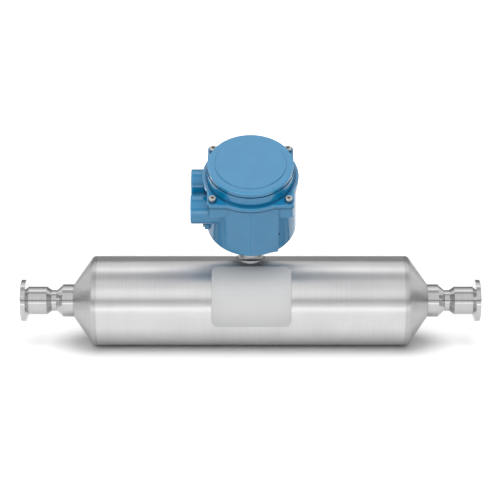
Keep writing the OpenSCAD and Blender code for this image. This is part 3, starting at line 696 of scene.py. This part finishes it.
class FLOWMETER_OT_finish_label(bpy.types.Operator):
    """Gives the bare label plate its foil, with a painted highlight in its middle"""

    bl_idname = "flowmeter.finish_label"
    bl_label = "Finish the label plate"

    def execute(self, context):
        settings = context.scene.flowmeter_label
        low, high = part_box("label_plate")
        finish = Finish("label_foil", settings.colour, metallic=0.15, roughness=settings.roughness)
        rim, middle = tuple(settings.rim_colour), tuple(settings.colour)

        # Painted highlight: the foil is lighter towards its middle and turns to the rim colour towards its
        # sides, along a reach that is 0 at the plate's middle and 1 at the middle of each side, on rounded
        # contours
        from_middle = finish.calc("SUBTRACT", finish.along(FLOW), (low.x + high.x) / 2)
        out_x = finish.calc("ABSOLUTE", finish.calc("DIVIDE", from_middle, (high.x - low.x) / 2))
        up = finish.along(LABEL_UP)
        out_up = finish.calc("ABSOLUTE", finish.calc("DIVIDE", up, (high.z - low.z) / 2))
        reach = finish.calc("ADD", *[finish.calc("POWER", out, 4.0) for out in (out_x, out_up)])
        foil = finish.mix(finish.ramp(reach, low=0.05, high=1.3, start=1, end=0, smooth=False), rim, middle)

        fold = finish.band(up, 0, half=0.0002, soft=0.0006)
        foil = finish.mix(finish.calc("MULTIPLY", fold, 0.25), foil, rim)
        grain = finish.noise((1500, 1500, 1500), detail=2)
        finish.colour(finish.mix(finish.calc("MULTIPLY", grain, 0.12), foil, rim))
        finish.soften(0.0003)
        finish.bump(grain, 0.000003)
        dress(finish.done(), "label_plate")
        return {"FINISHED"}


class FLOWMETER_OT_cut_threads(bpy.types.Operator):
    """Builds the thread inside each cable entry"""

    bl_idname = "flowmeter.cut_threads"
    bl_label = "Cut the entry threads"

    def execute(self, context):
        settings = context.scene.flowmeter_thread
        finish = Finish("cut_thread", (0.30, 0.31, 0.32), metallic=1, roughness=0.32)
        marks = finish.noise((900, 900, 900), detail=2)
        finish.colour(finish.mix(marks, (0.22, 0.25, 0.28), (0.40, 0.42, 0.44)))
        finish.bump(marks, 0.000005)
        material = finish.done()
        half_turn = settings.segments / 2
        for name in ENTRIES:
            mount = MOUNTS[name]
            radius = mount["dims"]["r_mm"] * MM + THREAD_SINK
            length = mount["dims"]["length_mm"] * MM - settings.pitch
            steps = int(length / settings.pitch * settings.segments)
            mesh = bmesh.new()
            rings = []
            for i in range(steps + 1):
                angle = 2 * math.pi * i / settings.segments
                x = length * (i / steps - 0.5)
                fade = min(i, steps - i, half_turn) / half_turn
                ring = []
                for offset, share in THREAD_CREST:
                    r = radius - settings.depth * share * fade
                    point = (x + offset * settings.pitch, r * math.cos(angle), r * math.sin(angle))
                    ring.append(mesh.verts.new(point))
                rings.append(ring)
            for first, second in zip(rings, rings[1:]):
                for j in range(len(THREAD_CREST) - 1):
                    mesh.faces.new((first[j], first[j + 1], second[j + 1], second[j]))
            bmesh.ops.recalc_face_normals(mesh, faces=mesh.faces)
            piece = made_object(name + "_thread", mesh, material)
            piece.location = Vector(mount["pos_m"])
            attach(piece, "housing")
        return {"FINISHED"}


class FLOWMETER_OT_finish_fasteners(bpy.types.Operator):
    """Brightens every screw and the small steel pieces"""

    bl_idname = "flowmeter.finish_fasteners"
    bl_label = "Finish the fasteners"

    def execute(self, context):
        dress(
            plain_steel("fastener_steel", (0.44, 0.44, 0.43), roughness=0.18),
            *LID_SCREWS, "outer_ground_screw", "inner_ground_screw", "module_screws", "terminal_screws",
            "swivel_lock_screw", "neck_retaining_ring",
        )
        return {"FINISHED"}


class FLOWMETER_OT_finish_seals(bpy.types.Operator):
    """Gives the seals their rubber"""

    bl_idname = "flowmeter.finish_seals"
    bl_label = "Finish the seals"

    def execute(self, context):
        rubber = moulded("black_rubber", (0.012, 0.012, 0.013), roughness=0.62, grain=1400)
        dress(rubber, "lid_seal", "neck_seal")
        return {"FINISHED"}


class FLOWMETER_OT_finish_electronics(bpy.types.Operator):
    """Finishes the module, its lead and the terminal block"""

    bl_idname = "flowmeter.finish_electronics"
    bl_label = "Finish the electronics"

    def execute(self, context):
        potting = moulded("potted_module_plastic", (0.030, 0.031, 0.034), roughness=0.5)
        lead = moulded("lead_plastic", (0.020, 0.020, 0.022), roughness=0.4, grain=2000)
        terminals = moulded("terminal_plastic", (0.030, 0.170, 0.070), roughness=0.42, grain=1500)
        dress(potting, "electronics_module")
        dress(lead, "module_lead", "sensor_plug")
        dress(terminals, "terminal_block")
        return {"FINISHED"}


class FLOWMETER_OT_finish_sensor(bpy.types.Operator):
    """Finishes the measuring system inside the case"""

    bl_idname = "flowmeter.finish_sensor"
    bl_label = "Finish the measuring system"

    def execute(self, context):
        wound = Finish("enamelled_copper", (0.55, 0.22, 0.08), metallic=1, roughness=0.35)
        turns = wound.node("ShaderNodeTexWave", wave_type="BANDS", bands_direction="Z")
        turns.inputs["Scale"].default_value = 600
        turns.inputs["Distortion"].default_value = 0.4
        wound.link(wound.place, turns.inputs["Vector"])
        wound.colour(wound.mix(turns.outputs["Fac"], (0.30, 0.10, 0.03), (0.62, 0.27, 0.10)))
        wound.bump(turns.outputs["Fac"], 0.0001)
        dress(wound.done(), "drive_coil", "inlet_pickoff_coil", "outlet_pickoff_coil")
        nickel = plain_steel("magnet_nickel", (0.62, 0.61, 0.58), roughness=0.22)
        mill = plain_steel("mill_steel", (0.46, 0.46, 0.45), roughness=0.42)
        film = moulded("amber_film", (0.50, 0.22, 0.04), roughness=0.3, grain=300)
        dress(nickel, "drive_magnet", "inlet_pickoff_magnet", "outlet_pickoff_magnet",
             "tube_temperature_sensor", "feedthrough", "feedthrough_pins")
        dress(mill, "reference_tube", "inlet_brace", "outlet_brace")
        dress(film, "sensor_wiring_strip")
        return {"FINISHED"}


def lay_floor(settings):
    """A pale floor that keeps the object's shadow near it and turns white further out; its glow fades
    towards the object, which paints a shadow round it on top of the real one.
    """
    mesh = bmesh.new()
    bmesh.ops.create_grid(mesh, x_segments=8, y_segments=8, size=FLOOR_HALF)
    paper = Finish("floor_paper", settings.floor_colour, metallic=0, roughness=0.95)
    paper.shader.inputs["Specular IOR Level"].default_value = 0
    fibres = paper.noise((200, 200, 200), detail=2)
    paper.colour(paper.mix(fibres, *shades(settings.floor_colour, low=0.995, high=1.0)))

    # The distance over the floor from the line below the case's axis
    along = paper.calc("ABSOLUTE", paper.along(FLOW))
    past_end = paper.calc("MAXIMUM", paper.calc("SUBTRACT", along, (CASE_HIGH.x - CASE_LOW.x) / 2), 0.0)
    across = paper.along((0, 1, 0))
    squares = [paper.calc("MULTIPLY", length, length) for length in (past_end, across)]
    reach = paper.calc("SQRT", paper.calc("ADD", *squares))

    # Painted shadow: the glow rises from nothing within half the case's radius of the line below its axis to
    # floor_lift at 1.2 radii, and to full white from the shadow reach to three times it
    far = paper.ramp(reach, low=settings.shadow_reach, high=settings.shadow_reach * 3)
    near = paper.ramp(reach, low=CASE_RADIUS * 0.5, high=CASE_RADIUS * 1.2, end=settings.floor_lift,
                      smooth=False)
    white = paper.calc("MULTIPLY", paper.calc("MAXIMUM", far, near), seen_rays(paper.tree))
    paper.shader.inputs["Emission Color"].default_value = (1, 1, 1, 1)
    paper.link(white, paper.shader.inputs["Emission Strength"])
    floor = made_object("studio_floor", mesh, paper.done())
    floor.location = (MIDDLE, 0, CAD_LOW.z)


def light_world(settings):
    """Soft light from all round, with a white background where it is seen."""
    world = bpy.data.worlds.new("studio_white")
    bpy.context.scene.world = world
    world.use_nodes = True
    tree = world.node_tree
    tree.nodes.clear()
    strength = tree.nodes.new("ShaderNodeMapRange")
    strength.inputs["To Min"].default_value = settings.ambient
    strength.inputs["To Max"].default_value = 1
    tree.links.new(seen_rays(tree), strength.inputs["Value"])
    background = tree.nodes.new("ShaderNodeBackground")
    tree.links.new(strength.outputs["Result"], background.inputs["Strength"])
    background.inputs["Color"].default_value = (1, 1, 1, 1)
    output = tree.nodes.new("ShaderNodeOutputWorld")
    tree.links.new(background.outputs["Background"], output.inputs["Surface"])


def hang_lamps(settings):
    """Two soft boxes that the metal mirrors, and two fill lights that it doesn't."""
    # Name, power, middle, width and height, and whether it shows in reflections
    lamps = (
        ("overhead_softbox", settings.overhead, (MIDDLE, 0.33, 1.35), (1.6, 0.36), True),
        ("front_softbox", settings.front, (MIDDLE - 1.1, -1.5, 1.0), (1.0, 1.0), True),
        ("upper_fill", settings.fill, (MIDDLE, -0.5, 2.0), (2.4, 2.4), False),
        ("lower_fill", settings.fill * 0.8, (MIDDLE, -2.4, 0.9), (2.4, 1.2), False),
    )
    for name, power, place, size, mirrored in lamps:
        lamp = bpy.data.lights.new(name, "AREA")
        lamp.shape = "RECTANGLE"
        lamp.size, lamp.size_y = size
        lamp.energy = power
        holder = bpy.data.objects.new(name, lamp)
        bpy.context.scene.collection.objects.link(holder)
        holder.location = place
        holder.visible_glossy = mirrored
        holder.rotation_euler = (Vector(LAMP_AIM) - Vector(place)).to_track_quat("-Z", "Y").to_euler()


def stand_cards():
    """Grey cards that glow with their own grey, a painted reflection that gives the steel its bands. Only
    its reflections see them.
    """
    for name, place, half, quarter_turns, grey in CARDS:
        mesh = bmesh.new()
        bmesh.ops.create_grid(mesh, x_segments=2, y_segments=2, size=1)
        cloth = Finish(name + "_cloth", (0, 0, 0), metallic=0, roughness=1)
        weave = cloth.noise((40, 40, 40), detail=2)
        card_glow = cloth.mix(weave, (grey * 0.95,) * 3, (grey * 1.05,) * 3)
        cloth.link(card_glow, cloth.shader.inputs["Emission Color"])
        cloth.shader.inputs["Emission Strength"].default_value = 1
        card = made_object(name, mesh, cloth.done())
        card.location = place
        card.scale = (*half, 1)
        card.rotation_euler = [math.radians(90) * turn for turn in quarter_turns]
        card.visible_camera = card.visible_diffuse = card.visible_shadow = False


def aim_camera(settings):
    """A long lens that looks down a little on the meter's front."""
    camera = bpy.data.cameras.new("studio_camera")
    camera.lens = settings.lens
    camera.sensor_width = SENSOR_WIDTH
    camera.clip_end = FARTHEST_SEEN
    camera.dof.use_dof = False
    eye = bpy.data.objects.new("studio_camera", camera)
    bpy.context.scene.collection.objects.link(eye)
    away = Vector((0, -math.cos(settings.elevation), math.sin(settings.elevation)))
    eye.location = Vector(CAMERA_AIM) + away * settings.distance
    eye.rotation_euler = (-away).to_track_quat("-Z", "Y").to_euler()
    bpy.context.scene.camera = eye


class FLOWMETER_OT_build_stage(bpy.types.Operator):
    """Lays the floor, hangs the lights and sets up the camera"""

    bl_idname = "flowmeter.build_stage"
    bl_label = "Build the stage"

    def execute(self, context):
        settings = context.scene.flowmeter_stage
        context.scene.view_settings.view_transform = "Standard"
        lay_floor(settings)
        light_world(settings)
        hang_lamps(settings)
        stand_cards()
        aim_camera(settings)
        return {"FINISHED"}


# ---------- add-on ----------


class FLOWMETER_PT_sidebar(bpy.types.Panel):
    """The flow meter's pieces and settings"""

    bl_idname = "FLOWMETER_PT_sidebar"
    bl_label = "Flow Meter"
    bl_space_type = "VIEW_3D"
    bl_region_type = "UI"
    bl_category = "Flow Meter"

    def draw(self, context):
        for operator, group in STEPS:
            box = self.layout.box()
            box.operator(operator.bl_idname)
            if group:
                settings = getattr(context.scene, group)
                for name in settings.__annotations__:
                    box.prop(settings, name)


GROUPS = {
    "flowmeter_paint": PaintSettings,
    "flowmeter_lug": LugSettings,
    "flowmeter_case": CaseSettings,
    "flowmeter_fitting": FittingSettings,
    "flowmeter_label": LabelSettings,
    "flowmeter_thread": ThreadSettings,
    "flowmeter_stage": StageSettings,
}
STEPS = (
    (FLOWMETER_OT_build_stage, "flowmeter_stage"),
    (FLOWMETER_OT_paint_housing, "flowmeter_paint"),
    (FLOWMETER_OT_fill_lugs, "flowmeter_lug"),
    (FLOWMETER_OT_finish_case, "flowmeter_case"),
    (FLOWMETER_OT_finish_fittings, "flowmeter_fitting"),
    (FLOWMETER_OT_finish_label, "flowmeter_label"),
    (FLOWMETER_OT_cut_threads, "flowmeter_thread"),
    (FLOWMETER_OT_finish_fasteners, None),
    (FLOWMETER_OT_finish_seals, None),
    (FLOWMETER_OT_finish_electronics, None),
    (FLOWMETER_OT_finish_sensor, None),
)


def register():
    for group in GROUPS.values():
        bpy.utils.register_class(group)
    for operator, _ in STEPS:
        bpy.utils.register_class(operator)
    bpy.utils.register_class(FLOWMETER_PT_sidebar)
    for name, group in GROUPS.items():
        setattr(bpy.types.Scene, name, PointerProperty(type=group))


def unregister():
    for name in GROUPS:
        delattr(bpy.types.Scene, name)
    bpy.utils.unregister_class(FLOWMETER_PT_sidebar)
    for operator, _ in reversed(STEPS):
        bpy.utils.unregister_class(operator)
    for group in reversed(GROUPS.values()):
        bpy.utils.unregister_class(group)


def main():
    register()
    for operator, _ in STEPS:
        part, name = operator.bl_idname.split(".")
        getattr(getattr(bpy.ops, part), name)()
    bpy.context.view_layer.update()


if __name__ == "__main__":
    main()
